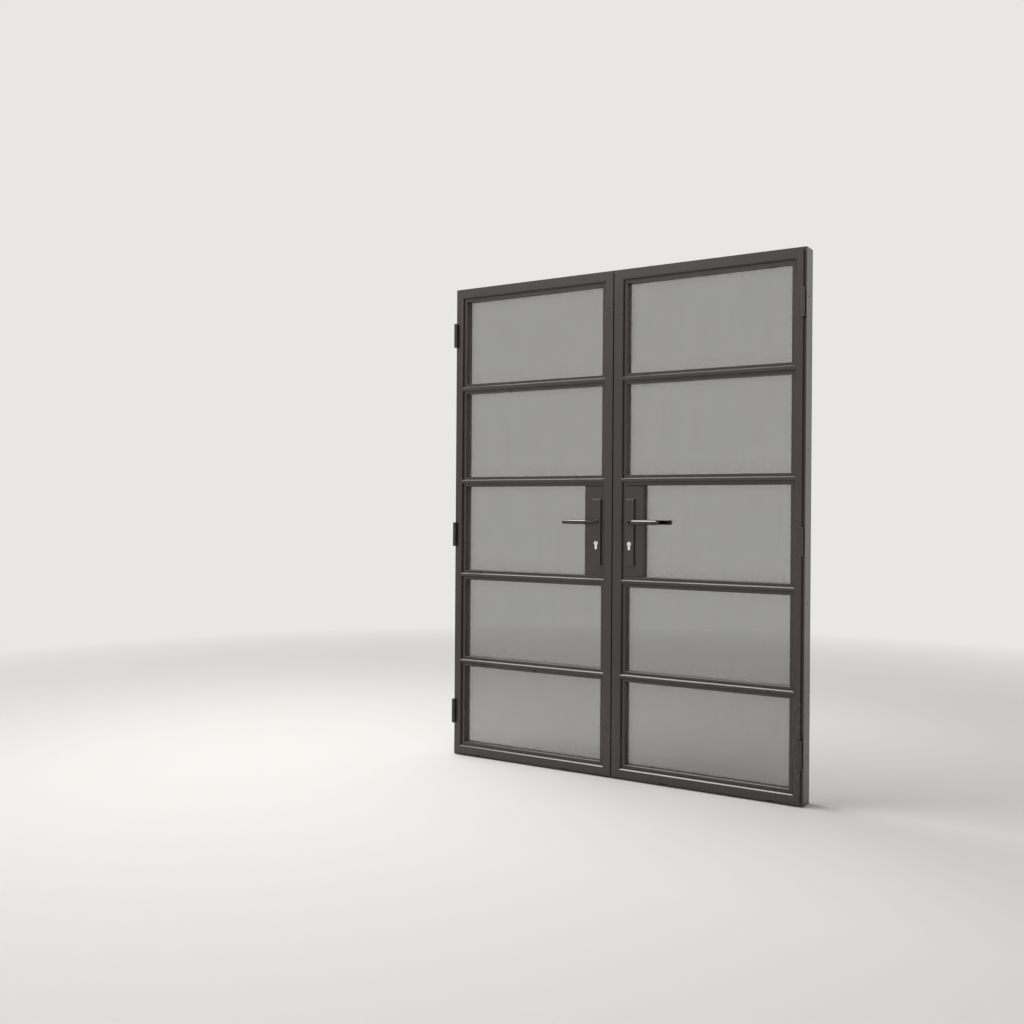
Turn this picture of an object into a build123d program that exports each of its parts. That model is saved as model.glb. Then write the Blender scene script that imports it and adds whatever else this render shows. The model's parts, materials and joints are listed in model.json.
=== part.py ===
# Pair of outward-opening glazed doors in a slim metal frame, millimetres.
# X runs along the opening, -Y is the outside, Z is up; the origin lies under the threshold, at its centre.
import os
from build123d import *

# Overall frame
overall_width = 1522.0
overall_height = 2000.0
frame_depth = 70.0
frame_front = 16.0          # width of the frame in front of the leaf edge
frame_stop = 34.0           # width of the jambs and head behind the leaf
threshold_stop = 28.0       # height of the threshold behind the leaf
frame_wall = 2.0
fixing_end = 175.0          # first and last wall fixing, from the ends of a jamb
fixing_count = 4
fixing_diameter = 8.5
drain_end = 121.0           # first and last drain slot, from the ends of the threshold
drain_count = 4
drain_width, drain_height, drain_rise = 24.0, 4.0, 5.0
seal_inset, seal_width, seal_thickness = 19.5, 7.0, 1.2
stop_clearance = 1.5        # room for the seal between the leaf and the frame stop

# Leaves, measured from the outer leaf edge inwards
strip_side = 9.8            # frame left in sight beside a leaf
strip_top = 9.6
strip_bottom = 11.5
meeting_gap = 4.8
leaf_depth = 66.0
face_projection = 11.5      # leaf face in front of the frame face
face_hinge = 24.5           # flat face width of each member
face_meeting = 33.5
face_rail = 28.5
flange_thickness = 11.2
edge_rebate = 9.7           # leaf body set back behind the overlapping flange
meeting_rebate = 3.0
leaf_wall = 2.0
nose_wall = 0.8             # wall shift where a hollow follows a chamfered step

# Stepped section shared by the members and the glazing bars
chamfer_step = 4.0
flat_band = 14.5
edge_ease = 1.0             # small bevel where the flat band turns back to the glass
lip_depth = 33.0
rebate_width = 13.5
web_depth = 30.0            # internal web that splits the members into two chambers

# Sealed glass units
gasket_thickness = 0.9
pane_thickness = 4.0
cavity_thickness = 12.0
bead_gasket = 0.8
pane_cover = 10.5           # glass hidden behind the section
gasket_nose = 0.5
gasket_cover = 12.5
spacer_gap = 1.0            # spacer bar inside the edge of the panes
spacer_sight = 3.5          # spacer bar outside the sight line
bead_drop = 3.0             # bead set back from the sight line
bead_nose = 2.5
bead_foot = 7.5

# Door furniture, placed from the lever axis
lever_height = 1009.0
key_drop = 85.0
backset = 70.3              # lever axis from the edge of the leaf
plate_width = 37.0
plate_over, plate_under = 90.5, 86.5    # above the lever axis, below the key axis
plate_thickness = 9.0
plate_shell = 2.5
plate_edge = 1.5            # rounded front edge of the plates
collar_diameter, collar_height = 25.0, 2.5
screw_inset = 14.0          # plate screws from the ends of a plate
screw_diameter, screw_head, screw_dome = 4.8, 8.4, 1.2
screw_hole, boss_diameter = 5.2, 12.0
lever_diameter = 18.0
lever_standoff = 33.5       # lever centreline in front of its plate
lever_length = 134.0
lever_base = 6.0            # height of the round base under the neck
neck_diameter = 14.0
neck_run = 27.0             # how far the slanted neck reaches along the lever
neck_bend = 12.0
lever_tip = 3.0
lever_heel = 2.0            # rounded edge where the grip starts
lever_seat = 1.2
spindle_size = 8.0
spindle_grip = 12.0
cylinder_width, cylinder_slot, cylinder_height = 17.0, 10.0, 33.0
cylinder_proud = 2.0
plug_diameter = 12.9
plug_proud = 0.5
keyway_width, keyway_depth = 2.2, 10.0
cam_radius, cam_width = 15.0, 8.0
part_clearance = 0.3        # between parts that pass through one another

# Lock panel and glazing bars: the third lite lies between the second and third bar, round the lever
panel_margin = 55.5         # panel edge beyond the lever axis
panel_wall = 2.0
panel_seam = 3.5            # bevel at the ends of the panel
bar_above_lever, bar_below_lever = 164.0, 234.0
upper_split, lower_split = 0.5153, 0.4829   # outer bars, as shares of the height above and below
bar_face = 9.5
bar_base = 41.5

# Lock case and bolts
case_thickness = 14.0
case_wall = 1.5
case_over, case_under, case_reach = 51.0, 56.0, 19.3    # beyond the lever and key axes
faceplate_thickness, faceplate_width = 2.0, 16.0
faceplate_inset = 50.0
bolt_centre_depth = 40.0
deadbolt_shares = (0.275, 0.70)         # of the overall height
deadbolt_thickness, deadbolt_height, deadbolt_length = 11.6, 30.0, 32.0
housing_height, housing_length = 43.4, 33.0
latch_rise, latch_tall, latch_length = 27.0, 20.0, 22.0
bolt_recess = 0.2           # drawn bolts behind the face of the faceplate
shoot_diameter = 10.0
shoot_offset = 23.6         # rods from the edge of the leaf
shoot_recess = 1.7
guide_block = 29.4
guide_end, guide_from_case = 138.5, 180.0
rod_from_case = 65.0
keep_length, keep_width, keep_thickness = 40.0, 18.0, 2.0
slide_clearance = 0.06
hole_clearance = 0.5

# Hinges
hinge_rise, hinge_drop = 178.5, 190.4   # lowest and highest hinge, from the ends of the leaf
hinge_share = 0.4708                    # middle hinge, as a share of the way up between them
hinge_length = 98.0
barrel_diameter = 15.0
pin_diameter = 8.0
pin_clearance = 0.05
pin_cap = 2.0
hinge_offset = 0.8          # hinge axis beyond the leaf edge
hinge_front = 8.2           # hinge axis in front of the leaf face
wing_thickness = 2.0
wing_gap = 0.6
knuckle_gap = 0.5

# Seal between the leaves
seal_depth, seal_root, seal_lip = 13.5, 8.0, 1.0
seal_reach_right, seal_reach_left = 0.7, 0.1    # noses from the centre line
seal_end = 12.0

through = 5.0               # how far cutters run past the faces that they cut


def evenly(first, last, count):
    return [first + (last - first) * i / (count - 1) for i in range(count)]


half_width = overall_width / 2
face_y = -frame_depth / 2 - face_projection
leaf_outer = half_width - strip_side
leaf_inner = meeting_gap / 2
leaf_bottom = strip_bottom
leaf_top = overall_height - strip_top
sight_offset = chamfer_step + flat_band
sight_left = leaf_inner + face_meeting + sight_offset
sight_right = leaf_outer - face_hinge - sight_offset
sight_bottom = leaf_bottom + face_rail + sight_offset
sight_top = leaf_top - face_rail - sight_offset
pane_outer = lip_depth + gasket_thickness
pane_inner = pane_outer + pane_thickness + cavity_thickness
bead_start = pane_inner + pane_thickness + bead_gasket
frame_back = face_projection + frame_depth
stop_face = leaf_depth + stop_clearance
key_height = lever_height - key_drop
body_edge = leaf_inner + meeting_rebate
axis_x = leaf_inner + backset
panel_edge = axis_x + panel_margin
plate_bottom, plate_top = key_height - plate_under, lever_height + plate_over
screw_heights = (plate_bottom + screw_inset, plate_top - screw_inset)
case_bottom, case_top, case_back = key_height - case_under, lever_height + case_over, axis_x + case_reach
latch_height = lever_height + latch_rise
faceplate_bottom, faceplate_top = leaf_bottom + faceplate_inset, leaf_top - faceplate_inset
deadbolt_heights = [share * overall_height for share in deadbolt_shares]
shoot_x = leaf_inner + shoot_offset
guide_heights = (
    leaf_bottom + guide_end, case_bottom - guide_from_case, case_top + guide_from_case, leaf_top - guide_end,
)
second_bar, third_bar = lever_height + bar_above_lever, lever_height - bar_below_lever
bar_heights = (
    second_bar + upper_split * (sight_top - second_bar), second_bar,
    third_bar, sight_bottom + lower_split * (third_bar - sight_bottom),
)
hinge_x = leaf_outer + hinge_offset
hinge_low, hinge_high = leaf_bottom + hinge_rise, leaf_top - hinge_drop
hinge_heights = (hinge_low, hinge_low + hinge_share * (hinge_high - hinge_low), hinge_high)


def y_at(depth):
    """World Y of a depth measured back from the outer leaf face."""
    return face_y + depth


def face_of(outline, holes=()):
    return Face(Wire.make_polygon(outline), [Wire.make_polygon(h) for h in holes])


def box(x0, x1, d0, d1, z0, z1):
    """Box between two X, two depths behind the leaf face and two Z."""
    size = (abs(x1 - x0), abs(d1 - d0), abs(z1 - z0))
    return Pos((x0 + x1) / 2, y_at((d0 + d1) / 2), (z0 + z1) / 2) * Box(*size)


def rod_y(x, z, d0, d1, radius):
    """Round bar along Y between two depths."""
    middle = y_at((d0 + d1) / 2)
    return Pos(x, middle, z) * Rot(90, 0, 0) * Cylinder(radius, abs(d1 - d0))


def rod_z(x, depth, z0, z1, radius):
    return Pos(x, y_at(depth), (z0 + z1) / 2) * Cylinder(radius, z1 - z0)


def member(side, rect, outline, holes=()):
    """Section (inward offset, depth) run along one side of the rectangle (x0, x1, z0, z1)."""
    x0, x1, z0, z1 = rect
    place = {
        "left": lambda u, d: (x0 + u, y_at(d), z0),
        "right": lambda u, d: (x1 - u, y_at(d), z0),
        "bottom": lambda u, d: (x0, y_at(d), z0 + u),
        "top": lambda u, d: (x0, y_at(d), z1 - u),
    }[side]
    upright = side in ("left", "right")
    length = z1 - z0 if upright else x1 - x0
    way = (0, 0, 1) if upright else (1, 0, 0)
    section = face_of([place(*p) for p in outline], [[place(*p) for p in h] for h in holes])
    return extrude(section, amount=length, dir=way)


def corner_path(x, z, sx, sz, offsets):
    """Points of a corner joint, from the outer corner inwards and on past the section."""
    points = [(x + sx * u, z + sz * v) for u, v in offsets]
    last_u, last_v = offsets[-1]
    points.append((x + sx * (last_u + leaf_depth), z + sz * (last_v + leaf_depth)))
    return points


def joint_block(side, rect, joints):
    """Block that keeps one side of a ring between its two corner joints.

    joints maps 'left'/'right' + 'bottom'/'top' to the (u, v) offsets of that corner.
    """
    x0, x1, z0, z1 = rect
    paths = {
        "left-bottom": corner_path(x0, z0, 1, 1, joints["left-bottom"]),
        "right-bottom": corner_path(x1, z0, -1, 1, joints["right-bottom"]),
        "left-top": corner_path(x0, z1, 1, -1, joints["left-top"]),
        "right-top": corner_path(x1, z1, -1, -1, joints["right-top"]),
    }
    first, second = {
        "left": ("left-bottom", "left-top"),
        "right": ("right-bottom", "right-top"),
        "bottom": ("left-bottom", "right-bottom"),
        "top": ("left-top", "right-top"),
    }[side]
    ring = paths[first] + paths[second][::-1]
    outline = [(x, y_at(-through), z) for x, z in ring]
    return extrude(face_of(outline), amount=frame_back + 2 * through, dir=(0, 1, 0))


def even_joints(offsets):
    names = ("left-bottom", "right-bottom", "left-top", "right-top")
    return {name: offsets for name in names}


def mitred_ring(rect, outline):
    """Four straight pieces of one section, mitred round a rectangle."""
    reach = max(u for u, _ in outline) + through
    low = min(u for u, _ in outline)
    x0, x1, z0, z1 = rect
    outer = (x0 + low, x1 - low, z0 + low, z1 - low)
    moved = [(u - low, d) for u, d in outline]
    joints = even_joints([(0, 0), (reach - low, reach - low)])
    return [member(s, outer, moved) & joint_block(s, outer, joints) for s in ("left", "right", "bottom", "top")]


def leaf_section(face, rebate):
    """Outline and two chambers of a leaf member."""
    step = face + chamfer_step
    sight = step + flat_band
    back = sight - rebate_width
    outline = [
        (0, 0), (face, 0), (step, chamfer_step), (step, face_projection), (sight - edge_ease, face_projection),
        (sight, face_projection + edge_ease), (sight, lip_depth), (back, lip_depth), (back, leaf_depth),
        (rebate, leaf_depth), (rebate, flange_thickness), (0, flange_thickness),
    ]
    w = leaf_wall
    front = [
        (rebate + w, w), (face - nose_wall, w), (step - w, chamfer_step + nose_wall),
        (step - w, face_projection + w), (sight - w, face_projection + w), (sight - w, lip_depth - w),
        (back, lip_depth - w), (back, web_depth - w / 2), (rebate + w, web_depth - w / 2),
    ]
    rear = [
        (rebate + w, web_depth + w / 2), (back - w, web_depth + w / 2),
        (back - w, leaf_depth - w), (rebate + w, leaf_depth - w),
    ]
    return outline, [front, rear]


def lock_cavities():
    """Slots for the lock case, the bolt housings and the rod guides, cut through the walls behind the plate."""
    gap = part_clearance
    d0 = bolt_centre_depth - case_thickness / 2 - gap
    d1 = bolt_centre_depth + case_thickness / 2 + gap
    front, back = body_edge - leaf_wall / 2, body_edge + 2 * leaf_wall
    cuts = box(front, case_back + gap, d0, d1, case_bottom - gap, case_top + gap)
    for heights, tall in ((deadbolt_heights, housing_height), (guide_heights, guide_block)):
        for z in heights:
            cuts += box(front, back, d0, d1, z - tall / 2 - gap, z + tall / 2 + gap)
    return cuts


leaf_rect = (leaf_inner, leaf_outer, leaf_bottom, leaf_top)
meeting_joint = [(0, 0), (meeting_rebate, edge_rebate), (face_meeting, face_rail)]
hinge_joint = [(0, 0), (edge_rebate, edge_rebate), (face_hinge, face_rail)]
leaf_joints = {
    "left-bottom": meeting_joint, "left-top": meeting_joint,
    "right-bottom": hinge_joint, "right-top": hinge_joint,
}
sections = {
    "left": leaf_section(face_meeting, meeting_rebate),
    "right": leaf_section(face_hinge, edge_rebate),
    "bottom": leaf_section(face_rail, edge_rebate),
    "top": leaf_section(face_rail, edge_rebate),
}


def leaf_member(side):
    outline, chambers = sections[side]
    return member(side, leaf_rect, outline, chambers) & joint_block(side, leaf_rect, leaf_joints)


def solid_envelope(side):
    return member(side, leaf_rect, sections[side][0])


def glazing_bar(z):
    """Stepped bar with a hollow nose and web, its ends cut to the shape of the stiles."""
    h, f, w = bar_base / 2, bar_face / 2, bar_base / 2 - rebate_width
    nose = f + chamfer_step
    half = [
        (f, 0), (nose, chamfer_step), (nose, face_projection), (h - edge_ease, face_projection),
        (h, face_projection + edge_ease), (h, lip_depth), (w, lip_depth), (w, leaf_depth),
    ]
    outline = half + [(-v, d) for v, d in half[::-1]]
    t = leaf_wall
    hollow = [
        (f - nose_wall, t), (nose - t, chamfer_step + nose_wall), (nose - t, face_projection + t),
        (h - t, face_projection + t), (h - t, lip_depth - t), (w - t, lip_depth - t), (w - t, leaf_depth - t),
    ]
    hollow = hollow + [(-v, d) for v, d in hollow[::-1]]
    x0, x1 = leaf_inner + face_meeting, leaf_outer - face_hinge
    place = lambda v, d: (x0, y_at(d), z + v)
    section = face_of([place(*p) for p in outline], [[place(*p) for p in hollow]])
    bar = extrude(section, amount=x1 - x0, dir=(1, 0, 0))
    return bar - solid_envelope("left") - solid_envelope("right")


def lite_rects():
    """Sight rectangles of the five lites, top one first."""
    edges = [sight_top]
    for z in bar_heights:
        edges += [z + bar_base / 2, z - bar_base / 2]
    edges.append(sight_bottom)
    rects = []
    for i in range(5):
        left = panel_edge if i == 2 else sight_left
        rects.append((left, sight_right, edges[2 * i + 1], edges[2 * i]))
    return rects


def glass_unit(rect):
    x0, x1, z0, z1 = rect
    c = pane_cover
    front = box(x0 - c, x1 + c, pane_outer, pane_outer + pane_thickness, z0 - c, z1 + c)
    back = box(x0 - c, x1 + c, pane_inner, pane_inner + pane_thickness, z0 - c, z1 + c)
    return [front, back]


def square_ring(rect, low, high, d0, d1):
    """Ring of rectangular section between two offsets into the rectangle and two depths."""
    x0, x1, z0, z1 = rect
    outer = box(x0 + low, x1 - low, d0, d1, z0 + low, z1 - low)
    return outer - box(x0 + high, x1 - high, d0 - through, d1 + through, z0 + high, z1 - high)


def spacer(rect):
    return square_ring(rect, spacer_gap - pane_cover, -spacer_sight, pane_outer + pane_thickness, pane_inner)


def glazing_gasket(rect):
    """Front and back gasket of a glass unit, each a closed ring."""
    front = square_ring(rect, -gasket_cover, gasket_nose, lip_depth, pane_outer)
    back = square_ring(rect, -gasket_cover, gasket_nose - bead_drop, pane_inner + pane_thickness, bead_start)
    return [front, back]


def glazing_bead(rect):
    low = -rebate_width
    outline = [
        (low, bead_start), (-bead_drop, bead_start), (-bead_drop, bead_start + bead_nose),
        (-bead_foot, leaf_depth), (low, leaf_depth),
    ]
    return mitred_ring(rect, outline)


def lock_panel():
    """Flat box beside the meeting stile that carries the lock, closed at both ends."""
    back, far = sight_left - rebate_width, panel_edge - rebate_width
    z0, z1 = bar_heights[2] + bar_base / 2, bar_heights[1] - bar_base / 2
    w = panel_wall
    outline = [
        (sight_left, face_projection), (panel_edge - edge_ease, face_projection),
        (panel_edge, face_projection + edge_ease), (panel_edge, lip_depth), (far, lip_depth), (far, leaf_depth),
        (back, leaf_depth), (back, lip_depth), (sight_left, lip_depth),
    ]
    hollow = [
        (sight_left + w, face_projection + w), (panel_edge - w, face_projection + w),
        (panel_edge - w, lip_depth - w), (far - w, lip_depth - w), (far - w, leaf_depth - w),
        (back + w, leaf_depth - w), (back + w, lip_depth + w), (sight_left + w, lip_depth + w),
    ]
    shell = extrude(face_of([(x, y_at(d), z0) for x, d in outline]), amount=z1 - z0, dir=(0, 0, 1))
    core = extrude(face_of([(x, y_at(d), z0 + 2 * w) for x, d in hollow]), amount=z1 - z0 - 4 * w, dir=(0, 0, 1))
    shell -= core
    for z, sign in ((z0, 1), (z1, -1)):
        front, deep = face_projection - 1, face_projection + 0.7 * panel_seam
        wedge = [(front, 0), (deep, 0), (front, sign * panel_seam)]
        cutter = face_of([(sight_left - through, y_at(d), z + rise) for d, rise in wedge])
        shell -= extrude(cutter, amount=panel_edge - sight_left + 2 * through, dir=(1, 0, 0))
    return shell


def euro_profile(d0, d1, grow=0.0):
    """Key cylinder profile between two depths: a round top over a narrower slot."""
    r = cylinder_width / 2 + grow
    s = cylinder_slot / 2 + grow
    low = key_height + cylinder_width / 2 - cylinder_height - grow
    top = rod_y(axis_x, key_height, d0, d1, r)
    stem = box(axis_x - s, axis_x + s, d0, d1, low + s, key_height)
    foot = rod_y(axis_x, low + s, d0, d1, s)
    return top + stem + foot


inner_plate = leaf_depth + plate_thickness
outer_plate = face_projection - plate_thickness


def backplates():
    """Outer and inner long plate, each hollow behind, with a raised collar round the lever neck."""
    plates = []
    x0, x1 = axis_x - plate_width / 2, axis_x + plate_width / 2
    seat_radius = lever_diameter / 2 + part_clearance
    w = plate_shell
    for front, back, out in ((outer_plate, face_projection, -1), (inner_plate, leaf_depth, 1)):
        plate = box(x0, x1, front, back, plate_bottom, plate_top)
        ends = [e for e in plate.edges() if abs(e.center().Y - y_at(front)) < 0.01]
        plate = fillet(ends, plate_edge)
        plate -= box(x0 + w, x1 - w, front - out * w, back - out * through, plate_bottom + w, plate_top - w)
        collar = front + out * collar_height
        plate += rod_y(axis_x, lever_height, front - out * w, collar, collar_diameter / 2)
        plate -= rod_y(axis_x, lever_height, front - out * plate_thickness, collar + out, seat_radius)
        plate -= euro_profile(front - plate_thickness, front + plate_thickness, part_clearance)
        for z in screw_heights:
            plate += rod_y(axis_x, z, back, front - out * w, boss_diameter / 2)
            plate -= rod_y(axis_x, z, back, front, screw_hole / 2)
        plates.append(plate)
    return plates


def plate_screws():
    """Through screws that clamp the two plates, with a flat head outside and a sleeve head inside."""
    screws = []
    for z in screw_heights:
        shank = rod_y(axis_x, z, outer_plate - bolt_recess, inner_plate + bolt_recess, screw_diameter / 2)
        head = rod_y(axis_x, z, outer_plate - screw_dome, outer_plate, screw_head / 2)
        tail = rod_y(axis_x, z, inner_plate, inner_plate + screw_dome, screw_head / 2)
        screws.append(shank + head + tail)
    return screws


def lever_set():
    """Outer lever with its square spindle, and the inner lever that fits over it, both on slanted necks."""
    pieces = []
    start, end = axis_x + neck_run, axis_x + lever_length
    for plate, out in ((outer_plate, -1), (inner_plate, 1)):
        root, base, line = (plate + out * rise for rise in (-lever_seat, lever_base, lever_standoff))
        points = [(axis_x, root), (axis_x, base), (start, line), (start + neck_bend, line)]
        path = FilletPolyline(*[(x, y_at(d), lever_height) for x, d in points], radius=neck_bend)
        profile = Plane(origin=(axis_x, y_at(root), lever_height), z_dir=(0, out, 0)) * Circle(neck_diameter / 2)
        neck = sweep(profile, path=path)
        grip = Pos((start + end) / 2, y_at(line), lever_height) * Rot(0, 90, 0) * Cylinder(
            lever_diameter / 2, end - start)
        for x, radius in ((start, lever_heel), (end, lever_tip)):
            grip = fillet([e for e in grip.edges() if abs(e.center().X - x) < 0.1], radius)
        foot = rod_y(axis_x, lever_height, root, base, lever_diameter / 2)
        rim = [e for e in foot.edges() if abs(e.center().Y - y_at(base)) < 0.1]
        pieces.append(grip + neck + fillet(rim, lever_heel))
    s = spindle_size / 2
    outer_root, inner_root = outer_plate + lever_seat, inner_plate - lever_seat
    grip = inner_root + spindle_grip
    spindle = box(axis_x - s, axis_x + s, outer_root, grip, lever_height - s, lever_height + s)
    socket = box(axis_x - s, axis_x + s, inner_root - through, grip, lever_height - s, lever_height + s)
    return [pieces[0] + spindle, pieces[1] - socket]


def key_cylinder():
    d0, d1 = outer_plate - cylinder_proud, inner_plate + cylinder_proud
    body = euro_profile(d0, d1)
    body -= rod_y(axis_x, key_height, d0 - through, d1 + through, plug_diameter / 2 + pin_clearance)
    half = cam_width / 2 + part_clearance
    wide = cylinder_width
    low, high = key_height - cam_radius - hole_clearance, key_height + cylinder_width
    body -= box(axis_x - wide, axis_x + wide, bolt_centre_depth - half, bolt_centre_depth + half, low, high)
    return body


def key_plug():
    """Round plug through the cylinder with a keyway in each end and the cam at mid depth."""
    proud = cylinder_proud + plug_proud
    d0, d1 = outer_plate - proud, inner_plate + proud
    radius = plug_diameter / 2
    plug = rod_y(axis_x, key_height, d0, d1, radius)
    c0, c1 = bolt_centre_depth - cam_width / 2, bolt_centre_depth + cam_width / 2
    plug += rod_y(axis_x, key_height, c0, c1, cylinder_width / 2 - part_clearance)
    cam_top = key_height + cam_radius - 2 * part_clearance
    plug += box(axis_x - cam_width / 2, axis_x + cam_width / 2, c0, c1, key_height, cam_top)
    half, low, high = keyway_width / 2, key_height - 0.71 * radius, key_height + 0.65 * radius
    for a, b in ((d0, d0 + keyway_depth), (d1 - keyway_depth, d1)):
        plug -= box(axis_x - half, axis_x + half, a, b, low, high)
    return plug


def lock_assembly(guides):
    """Long faceplate, hollow lock case and the bolt housings or rod guides fixed behind the plate."""
    d0, d1 = bolt_centre_depth - faceplate_width / 2, bolt_centre_depth + faceplate_width / 2
    plate = box(body_edge - faceplate_thickness, body_edge, d0, d1, faceplate_bottom, faceplate_top)
    mouth = (body_edge - through, body_edge + through)
    for z in deadbolt_heights:
        plate -= slot_for_bolt(z, *mouth)
    plate -= slot_for_bolt(latch_height, *mouth, latch_tall)
    c0, c1 = bolt_centre_depth - case_thickness / 2, bolt_centre_depth + case_thickness / 2
    w = case_wall
    case = box(body_edge, case_back, c0, c1, case_bottom, case_top)
    case -= box(body_edge + w, case_back - w, c0 + w, c1 - w, case_bottom + w, case_top - w)
    case -= rod_y(axis_x, lever_height, c0 - through, c1 + through, spindle_size * 0.75)
    case -= slot_for_bolt(latch_height, mouth[0], body_edge + latch_length + 1, latch_tall)
    case -= euro_profile(c0 - through, c1 + through, part_clearance)
    pieces = [plate, case]
    if guides:
        half = guide_block / 2
        back = shoot_x + shoot_diameter - 1
        for z in guide_heights:
            block = box(body_edge, back, c0, c1, z - half, z + half)
            bore = shoot_diameter / 2 + slide_clearance
            pieces.append(block - rod_z(shoot_x, bolt_centre_depth, z - half - through, z + half + through, bore))
    else:
        half = housing_height / 2
        for z in deadbolt_heights:
            block = box(body_edge, body_edge + housing_length, c0, c1, z - half, z + half)
            pieces.append(block - slot_for_bolt(z, mouth[0], body_edge + housing_length - case_wall))
    return pieces


def slot_for_bolt(z, x0, x1, height=deadbolt_height):
    """Slot through which a bolt of the given height slides."""
    half = deadbolt_thickness / 2 + slide_clearance
    tall = height / 2 + slide_clearance
    d0, d1 = bolt_centre_depth - half, bolt_centre_depth + half
    return box(x0, x1, d0, d1, z - tall, z + tall)


def deadbolts():
    x0 = body_edge - faceplate_thickness + bolt_recess
    half = deadbolt_thickness / 2
    bolts = []
    for z in deadbolt_heights:
        d0, d1 = bolt_centre_depth - half, bolt_centre_depth + half
        bolt = box(x0, x0 + deadbolt_length, d0, d1, z - deadbolt_height / 2, z + deadbolt_height / 2)
        nose = [e for e in bolt.edges() if abs(e.center().X - x0) < 0.01]
        bolts.append(chamfer(nose, 0.8))
    return bolts


def latch_bolt():
    """Sprung latch with its nose sloped on the outer side."""
    x0 = body_edge - faceplate_thickness + bolt_recess
    half = deadbolt_thickness / 2
    d0, d1 = bolt_centre_depth - half, bolt_centre_depth + half
    section = [(x0, d1), (x0 + latch_length, d1), (x0 + latch_length, d0), (x0 + 9, d0), (x0, d1 - 2.5)]
    z = latch_height - latch_tall / 2
    return extrude(face_of([(x, y_at(d), z) for x, d in section]), amount=latch_tall, dir=(0, 0, 1))


def meeting_seal(tip):
    """Rubber strip behind the meeting flange; tip is how far its nose stands from the centre line."""
    d0, d1 = seal_depth, seal_depth + seal_root
    middle, lip, root = (d0 + d1) / 2, seal_lip / 2, body_edge - faceplate_thickness
    outline = [
        (body_edge, d0), (body_edge, d1), (root, d1 - lip), (tip, middle + lip), (tip, middle - lip),
        (root, d0 + lip),
    ]
    low, high = leaf_bottom + seal_end, leaf_top - seal_end
    return extrude(face_of([(x, y_at(d), low) for x, d in outline]), amount=high - low, dir=(0, 0, 1))


def hinge_knuckles(z, leaf_side):
    """One hinge half: the leaf takes the middle knuckle, the frame the other two."""
    third = (hinge_length - 2 * knuckle_gap) / 3
    low, high = z - hinge_length / 2, z + hinge_length / 2
    starts = [low + i * (third + knuckle_gap) for i in range(3)]
    starts = [starts[1]] if leaf_side else [starts[0], starts[2]]
    bore = pin_diameter / 2 + (pin_clearance if leaf_side else 0.0)
    x0 = leaf_outer if leaf_side else leaf_outer + wing_thickness + wing_gap
    x1 = x0 + wing_thickness
    deep = face_projection - 1.0 if leaf_side else face_projection
    half = box(x0, x1, bolt_recess, deep, low, high)
    for a in starts:
        half += rod_z(hinge_x, -hinge_front, a, a + third, barrel_diameter / 2)
        half += box(x0, x1, -hinge_front, 1, a, a + third)
    if not leaf_side:
        half += box(x0, half_width, face_projection - wing_thickness, face_projection, low, high)
    return half - rod_z(hinge_x, -hinge_front, low - through, high + through, bore)


def hinge_pin(z):
    low, high = z - hinge_length / 2, z + hinge_length / 2
    pin = rod_z(hinge_x, -hinge_front, low, high, pin_diameter / 2)
    pin += rod_z(hinge_x, -hinge_front, low - pin_cap, low, barrel_diameter / 2)
    return pin + rod_z(hinge_x, -hinge_front, high, high + pin_cap, barrel_diameter / 2)


frame_rect = (-half_width, half_width, 0.0, overall_height)
top_joint = [(0, 0), (frame_front, frame_front), (frame_stop, frame_stop)]
low_joint = [(0, 0), (frame_front, frame_front), (frame_stop, threshold_stop)]
frame_joints = {"left-bottom": low_joint, "right-bottom": low_joint, "left-top": top_joint, "right-top": top_joint}


def frame_member(side):
    """Hollow frame member with its stop behind the leaves."""
    stop = threshold_stop if side == "bottom" else frame_stop
    d0, d1, w = face_projection, frame_back, frame_wall
    outline = [(0, d0), (frame_front, d0), (frame_front, stop_face), (stop, stop_face), (stop, d1), (0, d1)]
    front = [(w, d0 + w), (frame_front - w, d0 + w), (frame_front - w, d1 - w), (w, d1 - w)]
    rear = [(frame_front, stop_face + w), (stop - w, stop_face + w), (stop - w, d1 - w), (frame_front, d1 - w)]
    return member(side, frame_rect, outline, [front, rear]) & joint_block(side, frame_rect, frame_joints)


def shoot_hole(z):
    """Cutter for the holes that the vertical bolts pass through, near one height."""
    radius = shoot_diameter / 2 + hole_clearance
    return rod_z(-shoot_x, bolt_centre_depth, z - 2 * leaf_wall, z + 2 * leaf_wall, radius)


def left(shape):
    return mirror(shape, about=Plane.YZ)


pieces = {}

# Frame
head = frame_member("top") - shoot_hole(overall_height - frame_front)
threshold = frame_member("bottom") - shoot_hole(frame_front)
for x in evenly(drain_end - half_width, half_width - drain_end, drain_count):
    slot_end, high = drain_width / 2, drain_rise + drain_height
    d0, d1 = face_projection - frame_wall, face_projection + 1.5 * frame_wall
    threshold -= box(x - slot_end, x + slot_end, d0, d1, drain_rise, high)
jamb = frame_member("right")
for z in evenly(fixing_end, overall_height - fixing_end, fixing_count):
    bore = Pos(half_width - frame_front / 2, y_at(bolt_centre_depth), z) * Rot(0, 90, 0)
    jamb -= bore * Cylinder(fixing_diameter / 2, frame_front + frame_wall)
pieces["frame_head"] = [head]
pieces["frame_jamb_right"] = [jamb]
pieces["frame_jamb_left"] = [left(jamb)]
pieces["threshold"] = [threshold]
pieces["frame_seal"] = [
    square_ring(frame_rect, seal_inset, seal_inset + seal_width, stop_face - seal_thickness, stop_face)
]
keeps = []
for z0, z1 in ((frame_front, frame_front + keep_thickness),
               (overall_height - frame_front - keep_thickness, overall_height - frame_front)):
    half, d0 = keep_length / 2, bolt_centre_depth - keep_width / 2
    keep = box(-shoot_x - half, -shoot_x + half, d0, d0 + keep_width, z0, z1)
    keeps.append(keep - shoot_hole((z0 + z1) / 2))
pieces["bolt_keeps"] = keeps
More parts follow.
